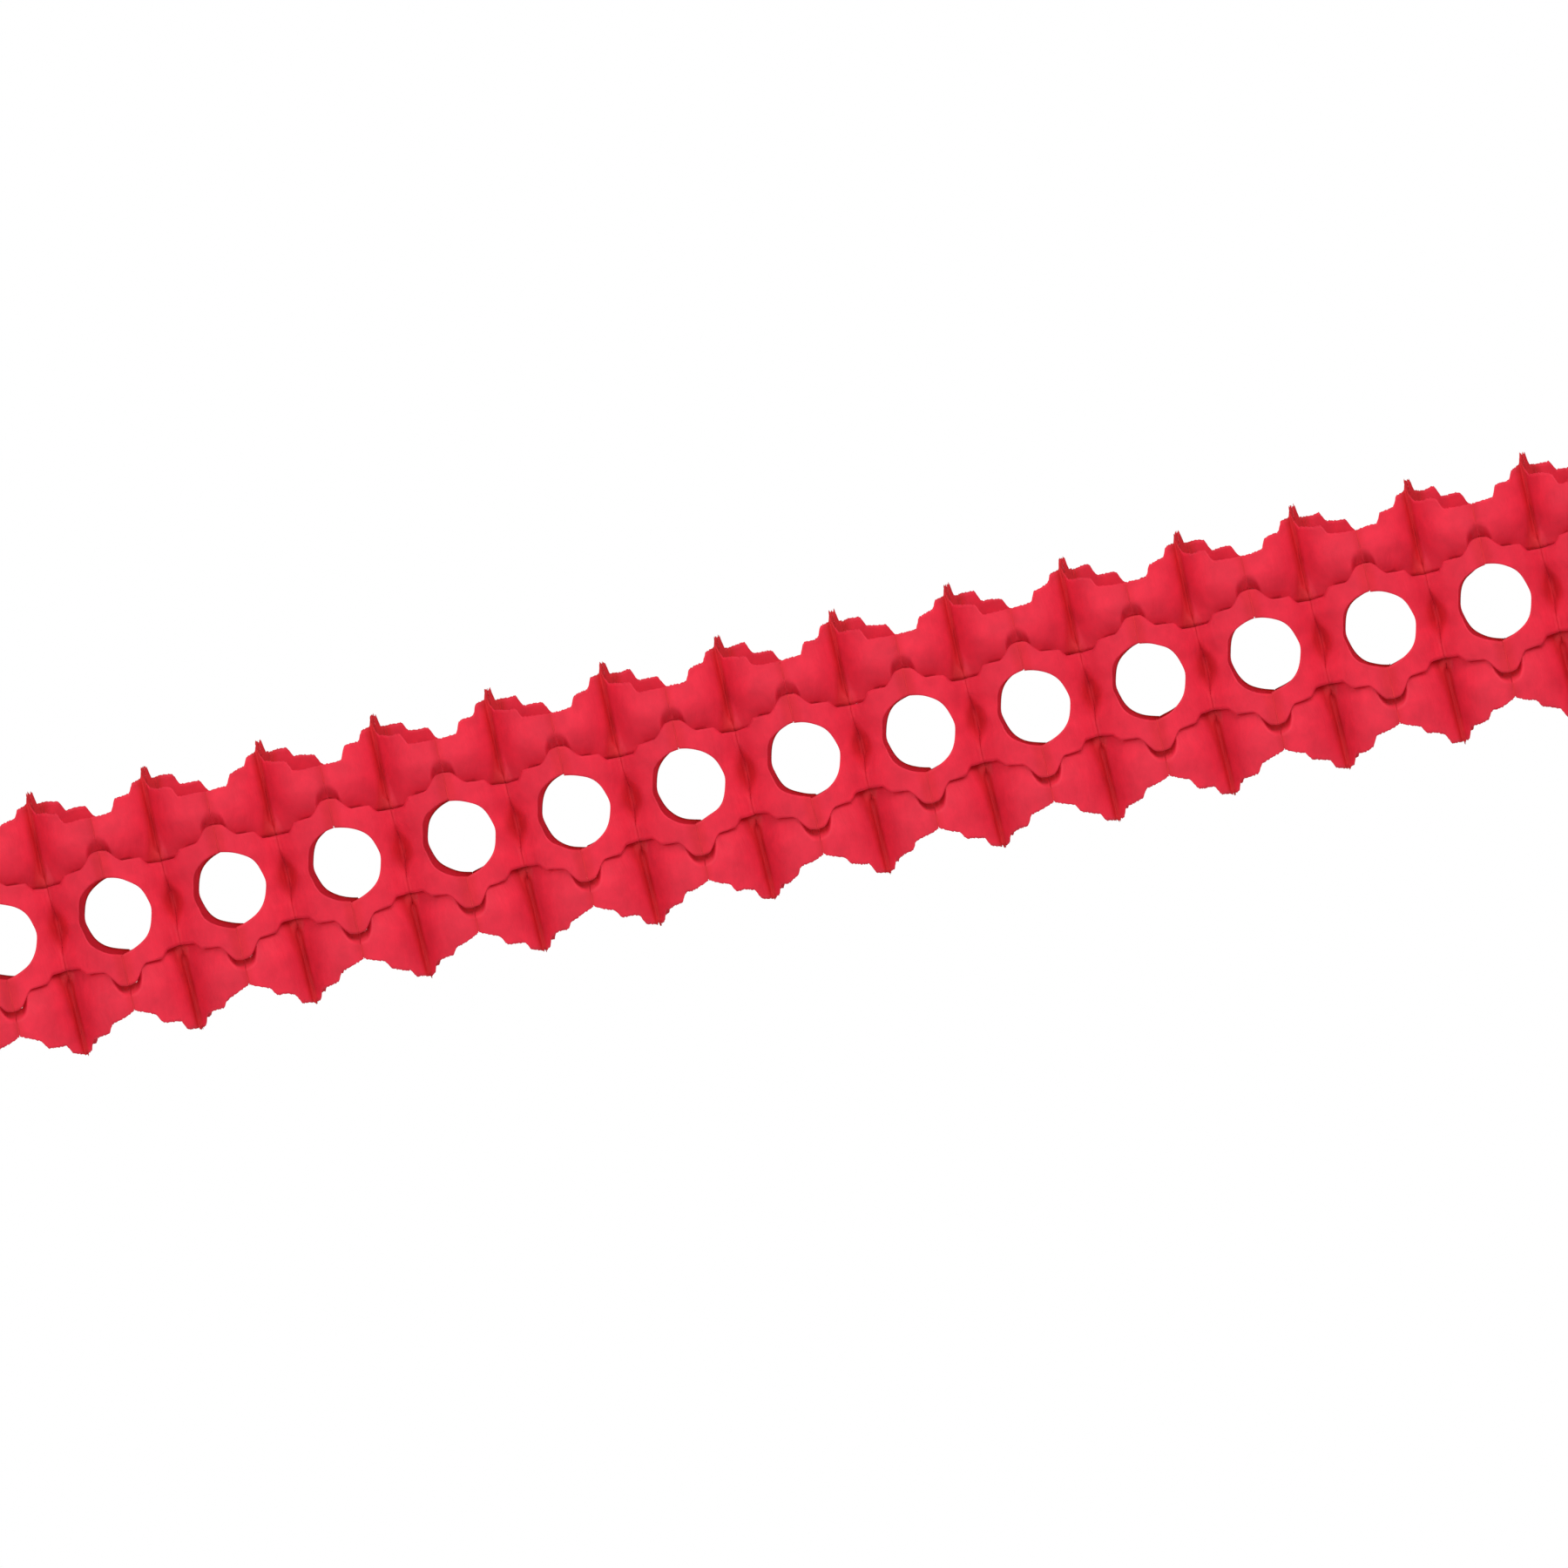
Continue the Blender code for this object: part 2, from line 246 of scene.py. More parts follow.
# The steep walls beside the creases: the arm's for leaves over and under the root strip, and a flap's at the
# slit and at the scallops, for (upper, over) flaps
WALL_SLOPE = 0.17
ARM_WALL_SLOPE = 0.22
BEND_ROUNDING = 0.12
LEAST_WALL = 0.5 * MM
ARM_WALLS = {True: 12.0 * MM, False: 9.0 * MM}
ARM_WALL_HEIGHT = 16.0 * MM
FLAP_WALLS = {
    (True, True): (1.0 * MM, 0.85 * MM), (True, False): (9.0 * MM, 7.65 * MM),
    (False, True): (5.0 * MM, 0.5 * MM), (False, False): (13.0 * MM, 4.5 * MM),
}

# The swell of the arm and of the flaps, and how quickly upper and lower flaps climb to their belly
ARM_SWELL = 1.2 * MM
BELLY_RISE_SHARE = 0.5
BELLY_LEAN_SHARE = 0.38
UNDER_BELLY_SHARE = 0.8
LOWER_TUCK_SHARE = -0.25
OVER_SWELL_POWER = 1.5
QUICK_CLIMB_SHARES = {True: 0.6, False: 0.45}
FREE_REACH = 4.0 * MM
LOOSE_CORNER_SHARES = (0.74, 0.88)
LOOSE_REACH_SHARE = 0.17

# The glue, which makes the tissue deeper in colour, and the painted shade that the same tint carries beside
# the creases, at the upper flaps' foot, over the arm's middle, in the lower loose corners and along the notch
# rim behind: where a flap's glued edge begins, and its strengths and reaches, together in that order for the
# edge seams
GLUE_FOOT = 43.5 * MM
GLUE_WIDTH = 1.2 * MM
GLUE_START_SHARE = 0.4
GLUE_FADE_SHARE = 1.2
# Painted shade: the share of the steep wall by which the crease tint is widened, darkening the valley beside the
# crease
WALL_SHADE_SHARE = 0.55
EDGE_GLUE_FADE_SHARE = 0.7
FLAP_EDGE_GLUE = (0.3, 4.3 * MM)
# Painted shade: the tint darkens the upper flaps' foot beside the spine; its strength, height, start and reach
FOOT_PAINTED_SHADE = 0.9
FOOT_SHADE_HEIGHT = 8.0 * MM
FOOT_SHADE_START = 2.0 * MM
FOOT_SHADE_REACH = 8.0 * MM
# Painted shade: over the arm's middle the tint is widened and deepened into the dark diamond of the valley; the
# height of that middle, the widening, and the strength at the slits (glue) and at the middle (glue and painted
# shade)
ARM_MIDDLE_SHADE_HEIGHT = 15.0 * MM
ARM_SHADE_WIDENING = 7.5
ARM_GLUE_AND_SHADE = (0.25, 0.9)
ARM_EDGE_GLUE = (0.5, 7.0 * MM)
# Painted shade: the notch rim of the leaves behind is darkened, as the shade inside the hole; its strength and
# width
RIM_PAINTED_SHADE = 3.0
RIM_SHADE_WIDTH = 1.6 * MM

# The glued lips: their part of the seed, their grid, how their ends and free edge are cut, how they lean and
# curl in radians, where they start, from the edge seam, and how far they stay from the other cuts
LIP_DRAW = 77
LIP_ROWS = 16
LIP_COLUMNS = 4
LIP_END = 1.2 * MM
LIP_END_SHARE = 0.7
LIP_WANDER_SHARE = 0.18
LIP_WAVE = 2.6 * MM
LIP_LEANS = (0.8, 1.1)
LIP_CURL = 0.35
LIP_LEFT = 0.115 * MM
LIP_OUT = 0.08 * MM
LIP_CREST_MARGIN = 0.5 * MM
LIP_NOTCH_MARGIN = 0.9 * MM
LIP_SLIT_MARGIN = 0.3 * MM
LIP_GLUE = 0.6

# The tissue: scale, detail and roughness of each noise, where its shades start and end, how light they are,
# and distance and strength of each relief
TISSUE_GRAIN = (1.0, 0.22, 1.0)
TISSUE_CLOUDS = (95.0, 3.0, 0.55)
TISSUE_CLOUD_SPAN = (0.32, 0.68)
TISSUE_CLOUD_GAINS = (0.90, 1.08)
TISSUE_FIBRES = (2400.0, 3.0, 0.6)
TISSUE_FIBRE_SPAN = (0.35, 0.65)
TISSUE_FIBRE_GAINS = (0.86, 1.0)
TISSUE_CRINKLES = (260.0, 4.0, 0.55)
TISSUE_DENTS = (70.0, 2.0, 0.5)
FIBRE_RELIEF = (0.05 * MM, 0.35)
CRINKLE_RELIEF = (0.45 * MM, 0.5)
DENT_RELIEF = (1.6 * MM, 0.35)
TISSUE_ROUGHNESS = 0.62
PLAIN_SPECULAR = 0.4
GLUED_SPECULAR = 0.28
# Glue and painted shade: one tint multiplies the colour wherever the glue channel is high, which is glue at the
# seams and lips, and painted shade in the creases, the flaps' feet and loose corners, the arm's middle and the
# notch rim behind
GLUE_AND_SHADE_TINT = (0.86, 0.76, 0.50, 1.0)
SHARE_THROUGH = 0.34
LIP_SHARE_THROUGH = 0.22
# How far the patterns of two seams, and of the two sides of a seam, lie apart
PATTERN_STEP = 0.137
PATTERN_SIDE_STEP = 0.05

# The board, in the same way
BOARD_GRAIN = (1.0, 1.0, 0.3)
BOARD_FIBRES = (1900.0, 4.0, 0.6)
BOARD_FIBRE_SPAN = (0.30, 0.55)
BOARD_CLOUDS = (140.0, 3.0, 0.5)
BOARD_CLOUD_SPAN = (0.3, 0.7)
BOARD_RELIEF = (0.06 * MM, 0.5)
BOARD_ROUGHNESS = 0.85
BOARD_SPECULAR = 0.3
BOARD_CLOUD_TINT = (0.93, 0.92, 0.90, 1.0)
FIBRE_SHADE = 0.72
WHITE = (1.0, 1.0, 1.0, 1.0)

# The studio: lamps by name, place, size and share of the key power, and the picture in the photo's pixels
FLOOR_HALF = 4.0
FLOOR_DROP = -0.75
FLOOR_SHADE = 0.8
BEHIND_SHARE = 0.35
LAMPS = (("key_lamp", (1.1, -2.0, 1.9), 1.6, 1.0), ("side_lamp", (-1.6, -2.2, 0.3), 1.8, 0.35))
PICTURE_PIXELS = 1800
GARLAND_MIDDLE_PIXELS = (923.8, 870.0)
SENSOR_WIDTH = 36.0
FARTHEST_SEEN = 50.0


def eased(value, start, reach):
    """From 0 at the start to 1 a reach further on, as three times the square of the share of the way less
    twice its cube."""
    share = np.clip((value - start) / reach, 0.0, 1.0)
    return share * share * (3.0 - 2.0 * share)


def mix(first, second, share):
    """The first value, moved by a share of the way to the second."""
    return first + (second - first) * share


def stairs(along, heights, falls, breaks, reaches):
    """Three terraces that each fall evenly away from the spine, joined by two eased steps."""
    starts, ends = (0.0, *breaks), (*breaks, LEAF_SPAN)
    terraces = [middle + fall * (0.5 - (along - start) / (end - start))
                for middle, fall, start, end in zip(heights, falls, starts, ends)]
    height = terraces[0]
    for terrace, step, reach in zip(terraces[1:], breaks, reaches):
        height = mix(height, terrace, eased(along, step - reach, 2 * reach))
    return height


def ripple(along, waves):
    """A sum of three slow sine waves, which fades to nothing at both seams."""
    total = sum(size * np.sin(turns * np.pi * along / LEAF_SPAN + start) for size, turns, start in waves)
    return total * np.sin(np.pi * along / LEAF_SPAN)


def fray(along, waves):
    """A sum of three quick sine waves: the uneven cut along the scallops, which grows to torn fibres at the
    tips beside the spine."""
    total = sum(np.sin(2 * np.pi * along / length + start) for length, start in waves)
    return total * (CUT_FRAY + TORN_FRAY * (1 - eased(along, TORN_WIDTH, TORN_FADE)))


def quick_waves(chance):
    """Length and start of each quick wave."""
    return [(length * chance.uniform(*FRAY_LENGTH_SHARES), chance.uniform(0.0, 2 * np.pi))
            for length in FRAY_LENGTHS]


def random_waves(chance, size):
    """Size, half turns and start of each slow wave. Later ones are smaller and turn more often."""
    return [(size * chance.uniform(*WAVE_SIZE_SHARES) / k, chance.uniform(*WAVE_HALF_TURNS) * k,
             chance.uniform(0.0, 2 * np.pi)) for k in range(1, SLOW_WAVES + 1)]


def column_places(reach, over, at_card):
    """Distances from the spine at which a leaf's grid has its columns, closer beside the notch's end and
    beside the crease. The leaves that lie over the others, in front and behind, move together and meet in the
    seam itself."""
    start = ROOT_CLEARANCE if at_card else -ROOT_OVERLAP if over else UNDER_CLEARANCE
    even = np.linspace(start, LEAF_SPAN - EDGE_CLEARANCE, COLUMNS)
    close = LEAF_SPAN - reach + np.array(NOTCH_COLUMNS)
    places = np.unique(np.round(np.concatenate([even, close, ROOT_COLUMNS, [SLIT_END]]), COLUMN_DECIMALS))
    keep = np.concatenate([[True], np.diff(places) > LEAST_COLUMN])
    return places[keep]


def notch_reach(sizes, front, over):
    """How far the notch reaches into a leaf, so that the hole is as wide on every leaf as seen from in
    front, but for its margins. The hole is a little wider on the front leaves to the right of a spine than on
    those behind them, whose rim shows."""
    sideways, depth = ARM_MIDDLE_CREASE
    span = HALF_PITCH + (sideways if over else -sideways)
    return (sizes.hole_width + HOLE_MARGINS[front, over]) * (LEAF_SPAN - np.hypot(sideways, depth)) / span


class LeafShape:
    """The outline of one leaf, above or below its middle, with its own hand-cut unevenness."""

    def __init__(self, sizes, chance, upward, front, over):
        self.sizes = sizes
        self.upward = upward
        self.front = front
        self.over = over
        self.reach = notch_reach(sizes, front, over)
        self.crest_waves = random_waves(chance, CREST_WAVE)
        self.slit_waves = random_waves(chance, SLIT_WAVE)
        self.notch_waves = random_waves(chance, NOTCH_WAVE)
        self.notch_gain = 1.0 + chance.uniform(-NOTCH_VARIATION, NOTCH_VARIATION)
        self.fray_waves = quick_waves(chance)
        self.crest_breaks = [share * LEAF_SPAN for share in CREST_BREAK_SHARES[front, upward, over]]
        self.slit_breaks = [share * LEAF_SPAN for share in SLIT_BREAK_SHARES]
        self.lower, self.fall_shares = SCALLOP_PLACES[front, upward]

    def crest(self, along):
        """The scalloped edge: stairs, with a blunt glued tip at the spine above. Below, the tip is only a
        low point of the scallop, and the last scallop dips to the glued edge, each fading away evenly."""
        sizes = self.sizes
        heights = (sizes.spine_crest, sizes.middle_crest, sizes.edge_crest)
        falls = [sizes.scallop_fall * share for share in self.fall_shares]
        torn = fray(along, self.fray_waves)
        height = stairs(along, heights, falls, self.crest_breaks, CREST_STEPS)
        height = height + ripple(along, self.crest_waves) - self.lower + torn
        if self.upward:
            top = TIP_TOP_SHARE * sizes.tip_width
            return mix(height, sizes.top_tip + torn, 1 - eased(along, top, sizes.tip_width - top))
        tip = LOWER_TIP_DROP * np.exp(-along / CREST_END_REACH)
        return height + tip - LOWER_EDGE_DIP * np.exp((along - LEAF_SPAN) / CREST_END_REACH)

    def slit(self, along):
        """The slit between arm and flap: stairs that climb towards the glued edge."""
        heights = UPPER_SLIT if self.upward else LOWER_SLIT
        height = stairs(along, heights, [-SLIT_RISE] * 3, self.slit_breaks, SLIT_STEPS)
        return height + ripple(along, self.slit_waves)

    def kerf(self, along):
        """Half the width of the cut, and nothing beside the spine, where the slit hasn't begun."""
        return np.where(along > SLIT_END + SAME_PLACE, KERF / 2, 0.0)

    def notch(self, along):
        """The notch: a quarter of a pointed oval, on which the shares of its width and height, to one power,
        add up to one, with a low peak at the glued edge, and the middle line before it. It comes out round,
        because the paper stands out further away from the middle line."""
        to_edge = LEAF_SPAN - along
        inward = np.minimum(to_edge / self.reach, 1.0)
        round_part = np.clip(1 - inward ** NOTCH_POWER, 0.0, 1.0) ** (1 / NOTCH_POWER)
        peak = NOTCH_PEAKS[self.upward] * np.exp(-to_edge / NOTCH_PEAK_REACH)
        height = self.sizes.notch_height * self.notch_gain * round_part + peak * (to_edge < self.reach)
        return np.maximum(height + ripple(along, self.notch_waves) * round_part, 0.0)


def arm_crease(height):
    """Where the arm's crease stands: close to the seam at the middle, further out at the slits."""
    to_edge = eased(height, ARM_CREASE_START, ARM_CREASE_REACH)
    return [mix(middle, edge, to_edge) for middle, edge in zip(ARM_MIDDLE_CREASE, ARM_EDGE_CREASE)]


def flap_crease(along, height, slit, front, upward):
    """Where a flap's crease stands: it starts as the arm's where the slit hasn't begun, and goes over into
    the flap's own, which changes evenly from the slit to the tip."""
    at_slit, at_tip = FLAP_CREASES[front, upward]
    own = mix(eased(height, slit, OWN_CREASE_HEIGHT), 1.0, eased(along, SLIT_END, OWN_CREASE_REACH))
    to_tip = eased(height, TIP_CREASE_START, TIP_CREASE_REACH)
    return [mix(arm, mix(low, high, to_tip), own)
            for arm, low, high in zip(arm_crease(height), at_slit, at_tip)]


def softer_least(first, second, rounding):
    """The smaller of two values, rounded where they are nearly equal."""
    least = np.minimum(first, second)
    return least - rounding * np.log(np.exp((least - first) / rounding) + np.exp((least - second) / rounding))


def steep_wall(along, reach, slope):
    """The paper beside a crease, which climbs evenly over its reach, bends, and goes back evenly to nothing
    at the edge seam."""
    reach = np.maximum(reach, LEAST_WALL)
    climb, fall = along / reach, (LEAF_SPAN - along) / (LEAF_SPAN - reach)
    return slope * reach * softer_least(climb, fall, BEND_ROUNDING)


def arm_bulge(along, height, over):
    """How far the arm stands out: half a sine wave over its span, and a steep wall beside the seam at the
    middle of the arm only, which is wider on the leaf that lies over the root strip."""
    middle = 1 - eased(height, 0.0, ARM_WALL_HEIGHT)
    return (ARM_SWELL * np.sin(np.pi * along / LEAF_SPAN)
            + steep_wall(along, ARM_WALLS[over] * middle, ARM_WALL_SLOPE))


def flap_bulge(along, rise, height, shape, wall):
    """How far a flap stands out: tucked in at the slit, out to its belly halfway up by a mix of an eased
    climb and a quarter of a sine wave, and back a little to the scalloped edge. Beside the spine, where the
    slit hasn't begun, it starts as the arm does. The steep wall beside the crease grows with the climb."""
    sizes = shape.sizes
    across = np.sin(np.pi * np.clip(along / LEAF_SPAN, 0.0, 1.0)) ** (OVER_SWELL_POWER if shape.over else 1.0)
    tuck = sizes.tuck * (1.0 if shape.upward else LOWER_TUCK_SHARE)
    belly = sizes.belly * (1.0 if shape.over else UNDER_BELLY_SHARE)
    start = mix(arm_bulge(along, height, shape.over), -tuck * across, eased(along, SLIT_END, FREE_REACH))
    quarter = np.sin(np.pi / 2 * np.clip(rise / BELLY_RISE_SHARE, 0.0, 1.0))
    climb = mix(eased(rise, 0.0, BELLY_RISE_SHARE), quarter, QUICK_CLIMB_SHARES[shape.upward])
    lean = 1 - BELLY_LEAN_SHARE * eased(rise, BELLY_RISE_SHARE, 1 - BELLY_RISE_SHARE)
    return mix(start, belly * across, climb) * lean + steep_wall(along, wall, WALL_SLOPE) * climb


def leaf_surface(along, bulge, pocket, crease, over, glue_width):
    """Bends a leaf: its root strip runs straight from the seam to the crease, the rest runs straight from
    there to the edge seam, and the bulge stands out square to the flat leaf. Past the crease lies a narrow
    rounded floor: the distance times its falling exponential. The pocket moves points straight back towards
    the garland's middle plane. The crease is lifted a hair further out in depth. Gives the distance along the
    flat leaf, the distance out from it, and how much of the crease tint a point carries, which is glue on the
    glued strip and painted shade in the valley where the tint is widened past it."""
    sideways, depth = crease
    turn = -1 if over else 1
    crease_along = turn * sideways * SLOPE_COS + depth * SLOPE_SIN
    crease_out = -turn * sideways * SLOPE_SIN + depth * SLOPE_COS
    root = np.hypot(sideways, depth)
    on_root = np.clip(along / root, 0.0, 1.0)
    left = np.clip((LEAF_SPAN - along) / (LEAF_SPAN - root), 0.0, 1.0)
    share = np.where(along < root, on_root, left)
    past = np.maximum(along - root, 0.0)
    beyond = eased(past, 0.0, CREASE_EASE)
    floor = FLOOR_DEPTH * past / FLOOR_REACH * np.exp(1 - past / FLOOR_REACH)
    lift = CREASE_LIFT * on_root * (1 - beyond)
    new_along = along + (crease_along - root) * share - pocket * SLOPE_SIN + lift * SLOPE_COS
    swell = bulge * mix(ROOT_BULGE_SHARE * on_root, 1.0, beyond)
    new_out = crease_out * share + swell - floor - pocket * SLOPE_COS + lift * SLOPE_SIN
    # Glue on the glued strip, and painted shade in the valley where the width is widened past it
    glue_and_shade = 1 - eased(past, GLUE_START_SHARE * glue_width, GLUE_FADE_SHARE * glue_width)
    return new_along, new_out, glue_and_shade


def edge_glue(along, strength, reach):
    """The glue beside the edge seam, which thins out over a reach."""
    return strength * eased(along, LEAF_SPAN - reach, EDGE_GLUE_FADE_SHARE * reach)


def panel_grid(lower, upper, rows):
    """Heights of a panel's points: each column runs evenly from its lower to its upper end."""
    share = np.linspace(0.0, 1.0, rows + 1)[:, None]
    return mix(lower[None, :], upper[None, :], share)


def even_rise(along, height, sizes):
    """How far up its flap a point is, from 0 to 1, between an even curve along the slit and a straight line
    along the scallops."""
    share = np.clip(along / LEAF_SPAN, 0.0, 1.0)
    foot = mix(UPPER_SLIT[0], UPPER_SLIT[-1], share ** SLIT_CURVE)
    return np.clip((height - foot) / (mix(sizes.spine_crest, sizes.edge_crest, share) - foot), 0.0, 1.0)


def grid_faces(rows, columns, first, turned=False):
    """Four corners of each square of a grid whose points are numbered row by row, or the other way round
    where the rows run downwards."""
    index = first + np.arange((rows + 1) * (columns + 1)).reshape(rows + 1, columns + 1)
    corners = [index[:-1, :-1], index[:-1, 1:], index[1:, 1:], index[1:, :-1]]
    return np.stack(corners[::-1] if turned else corners, axis=-1).reshape(-1, 4)


def flap_panel(shape, along, lean):
    """A flap, from the slit to the scallops, whose corner under the glued edge stands back in a pocket. It
    carries glue beside the edge seam, and beside the crease a tint widened by painted shade where the wall is
    steep; above, painted shade at its foot beside the spine, and below, painted shade as far as the loose
    corner is in shade."""
    sizes, slit = shape.sizes, shape.slit(along)
    heights = panel_grid(slit + shape.kerf(along), shape.crest(along), FLAP_ROWS)
    places = np.broadcast_to(along, heights.shape)
    rise = even_rise(places, heights, sizes)
    wall = mix(*FLAP_WALLS[shape.upward, shape.over], rise)
    to_glue = eased(heights, slit, GLUE_FOOT - slit)
    loose = eased(places / LEAF_SPAN, mix(*LOOSE_CORNER_SHARES, to_glue), LOOSE_REACH_SHARE) * (1 - to_glue)
    sideways, depth = flap_crease(places, heights, slit, shape.front, shape.upward)
    bulge = flap_bulge(places, rise, heights, shape, wall)
    # Painted shade: the crease tint reaches further where the wall is steep
    *surface, glue_and_shade = leaf_surface(places, bulge, sizes.pocket * loose, (lean * sideways, depth), shape.over,
                                  GLUE_WIDTH + WALL_SHADE_SHARE * wall)
    glue_and_shade = np.maximum(glue_and_shade, edge_glue(places, *FLAP_EDGE_GLUE))
    # Painted shade at the upper flap's foot beside the spine
    if shape.upward:
        foot = 1 - eased(heights, slit, FOOT_SHADE_HEIGHT)
        beside_spine = 1 - eased(places, FOOT_SHADE_START, FOOT_SHADE_REACH)
        return places, heights, *surface, np.maximum(glue_and_shade, FOOT_PAINTED_SHADE * foot * beside_spine)
    # Painted shade over the lower flap's loose corner, which stands back in a pocket
    return places, heights, *surface, np.maximum(glue_and_shade, loose)


def arm_panel(shape, along, lean):
    """Half of the arm, from the notch and the middle line to the slit. Its glue tint is widest and deepest at
    the middle, where it is painted shade in the valley. Behind, the rim of the notch is darkened by painted shade."""
    notch = shape.notch(along)
    heights = panel_grid(notch, shape.slit(along) - shape.kerf(along), ARM_ROWS)
    places = np.broadcast_to(along, heights.shape)
    # Painted shade: the tint widens and deepens towards the arm's middle
    middle = 1 - eased(heights, 0.0, ARM_MIDDLE_SHADE_HEIGHT)
    sideways, depth = arm_crease(heights)
    bulge = arm_bulge(places, heights, shape.over)
    *surface, glue_and_shade = leaf_surface(places, bulge, 0.0, (lean * sideways, depth), shape.over,
                                  GLUE_WIDTH * mix(1.0, ARM_SHADE_WIDENING, middle))
    glue_and_shade = np.maximum(glue_and_shade * mix(*ARM_GLUE_AND_SHADE, middle), edge_glue(places, *ARM_EDGE_GLUE))
    if shape.front:
        return places, heights, *surface, glue_and_shade
    # Painted shade along the notch rim of the leaves behind
    rim_shade = (1 - eased(heights, notch, RIM_SHADE_WIDTH)) * (notch > 0.0)
    return places, heights, *surface, np.maximum(glue_and_shade, RIM_PAINTED_SHADE * rim_shade)


def leaf_panels(sizes, chance, front, over, at_card):
    """The four panels of a leaf, each as arrays of place in the flat leaf, height, distance along, distance
    out, and glue with painted shade. Beside an end card the root strip lies flat on the card."""
    lean = 0.0 if at_card else 1.0
    along = column_places(notch_reach(sizes, front, over), over, at_card)
    panels = []
    for upward in (True, False):
        shape = LeafShape(sizes, chance, upward, front, over)
        for make_panel in (flap_panel, arm_panel):
            places, heights, *surface = make_panel(shape, along, lean)
            panels.append((places, heights if upward else -heights, *surface))
    return panels


def panel_area(places, heights):
    """Area of a flat panel: the strip between two columns is as wide as their distance and as high as their
    mean height."""
    drop = np.abs(heights[-1] - heights[0])
    return float(np.sum((drop[1:] + drop[:-1]) / 2 * np.diff(places[0])))


def welded(mesh):
    """Joins points that lie in one place, where two panels share an edge."""
    work = bmesh.new()
    work.from_mesh(mesh)
    bmesh.ops.remove_doubles(work, verts=work.verts, dist=SAME_PLACE)
    work.to_mesh(mesh)
    work.free()


def new_piece(name, points, faces, pattern, glue_and_shade, material, body):
    """A mesh object from its grids' points, faces, pattern places and glue with painted shade, on a body and with
    a slot.
    """
    points, faces, pattern, glue_and_shade = map(np.concatenate, (points, faces, pattern, glue_and_shade))
    mesh = bpy.data.meshes.new(name)
    mesh.vertices.add(len(points))
    mesh.vertices.foreach_set("co", points.astype(np.float32).ravel())
    mesh.loops.add(faces.size)
    mesh.loops.foreach_set("vertex_index", faces.astype(np.int32).ravel())
    mesh.polygons.add(len(faces))
    mesh.polygons.foreach_set("loop_start", np.arange(0, faces.size, 4, dtype=np.int32))
    mesh.update(calc_edges=True)
    layer = mesh.uv_layers.new(name="sheet")
    layer.data.foreach_set("uv", pattern[faces.ravel()].astype(np.float32).ravel())
    mesh.attributes.new("glue_and_shade", "FLOAT", "POINT").data.foreach_set("value", glue_and_shade.astype(np.float32))
    mesh.materials.append(material)
    welded(mesh)
    mesh.shade_smooth()
    piece = bpy.data.objects.new(name, mesh)
    bpy.context.scene.collection.objects.link(piece)
    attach(piece, body)
    return piece


def give_thickness(piece, thickness):
    """Turns an open surface into a closed shell, half of its thickness to each side."""
    wall = piece.modifiers.new("Thickness", "SOLIDIFY")
    wall.thickness = thickness
    wall.offset = 0.0
    wall.use_quality_normals = True


def leaf_frame(seam, side, front):
    """The seam's place, the leaf's direction and its outward direction, for a leaf to one side (-1 or 1)."""
    depth_sign = -1.0 if front else 1.0
    direction = np.array([side * SLOPE_COS, depth_sign * SLOPE_SIN])
    outward = np.array([-side * SLOPE_SIN, depth_sign * SLOPE_COS])
    start = np.array([FIRST_SEAM.x + 2 * seam * HALF_PITCH, FIRST_SEAM.y])
    return start, direction, outward


def make_leaf(name, node, seam, side, front, material, sizes):
    """One tissue leaf, which stands for its node and rides on that node's body."""
    over = (side > 0) == front
    chance = np.random.default_rng([sizes.seed, seam, int(side > 0), int(front)])
    start, direction, outward = leaf_frame(seam, side, front)
    shift = seam * PATTERN_STEP + side * PATTERN_SIDE_STEP
    points, faces, pattern, glue_and_shade_channel, count, area = [], [], [], [], 0, 0.0
    for places, heights, along, out, glue_and_shade in leaf_panels(sizes, chance, front, over, seam in (0, CELLS)):
        rows, columns = places.shape[0] - 1, places.shape[1] - 1
        flat = start + along[..., None] * direction + out[..., None] * outward
        points.append(np.concatenate([flat, heights[..., None]], axis=-1).reshape(-1, 3))
        pattern.append(np.stack([places + shift, heights], axis=-1).reshape(-1, 2))
        glue_and_shade_channel.append(glue_and_shade.ravel())
        faces.append(grid_faces(rows, columns, count, heights[-1, 0] < heights[0, 0]))
        count += points[-1].shape[0]
        area += panel_area(places, heights)
    leaf = new_piece(name, points, faces, pattern, glue_and_shade_channel, material, BODY_OF[node])
    give_thickness(leaf, sizes.wall)
    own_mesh(leaf)
    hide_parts(node)


def leaf_plan():
    """Name, node, seam, side and front or back of every leaf."""
    fused = {}
    for node in frame["nodes"]:
        if node.startswith("sheet_") and "_front_" in node and node.endswith("_back"):
            _, even, _, odd, _ = node.split("_")
            fused[f"sheet_{even}_front_leaf"] = node
            fused[f"sheet_{odd}_back_leaf"] = node
    plan = []
    for sheet in range(1, 2 * CELLS + 1):
        seam, side = sheet // 2, 1 if sheet % 2 else -1
        for face in ("front", "back"):
            node = f"sheet_{sheet:02d}_{face}_leaf"
            plan.append((f"tissue_{sheet:02d}_{face}", fused.get(node, node), seam, side, face == "front"))
    return plan


BODY_OF_BACK = {seam: BODY_OF[node] for _, node, seam, side, front in leaf_plan() if side < 0 and not front}


def edge_height(sizes, front, upward):
    """Height of the scalloped edge beside the edge seam, without its unevenness."""
    lower, shares = SCALLOP_PLACES[front, upward]
    dip = 0.0 if upward else LOWER_EDGE_DIP
    return sizes.edge_crest - 0.5 * sizes.scallop_fall * shares[-1] - lower - dip


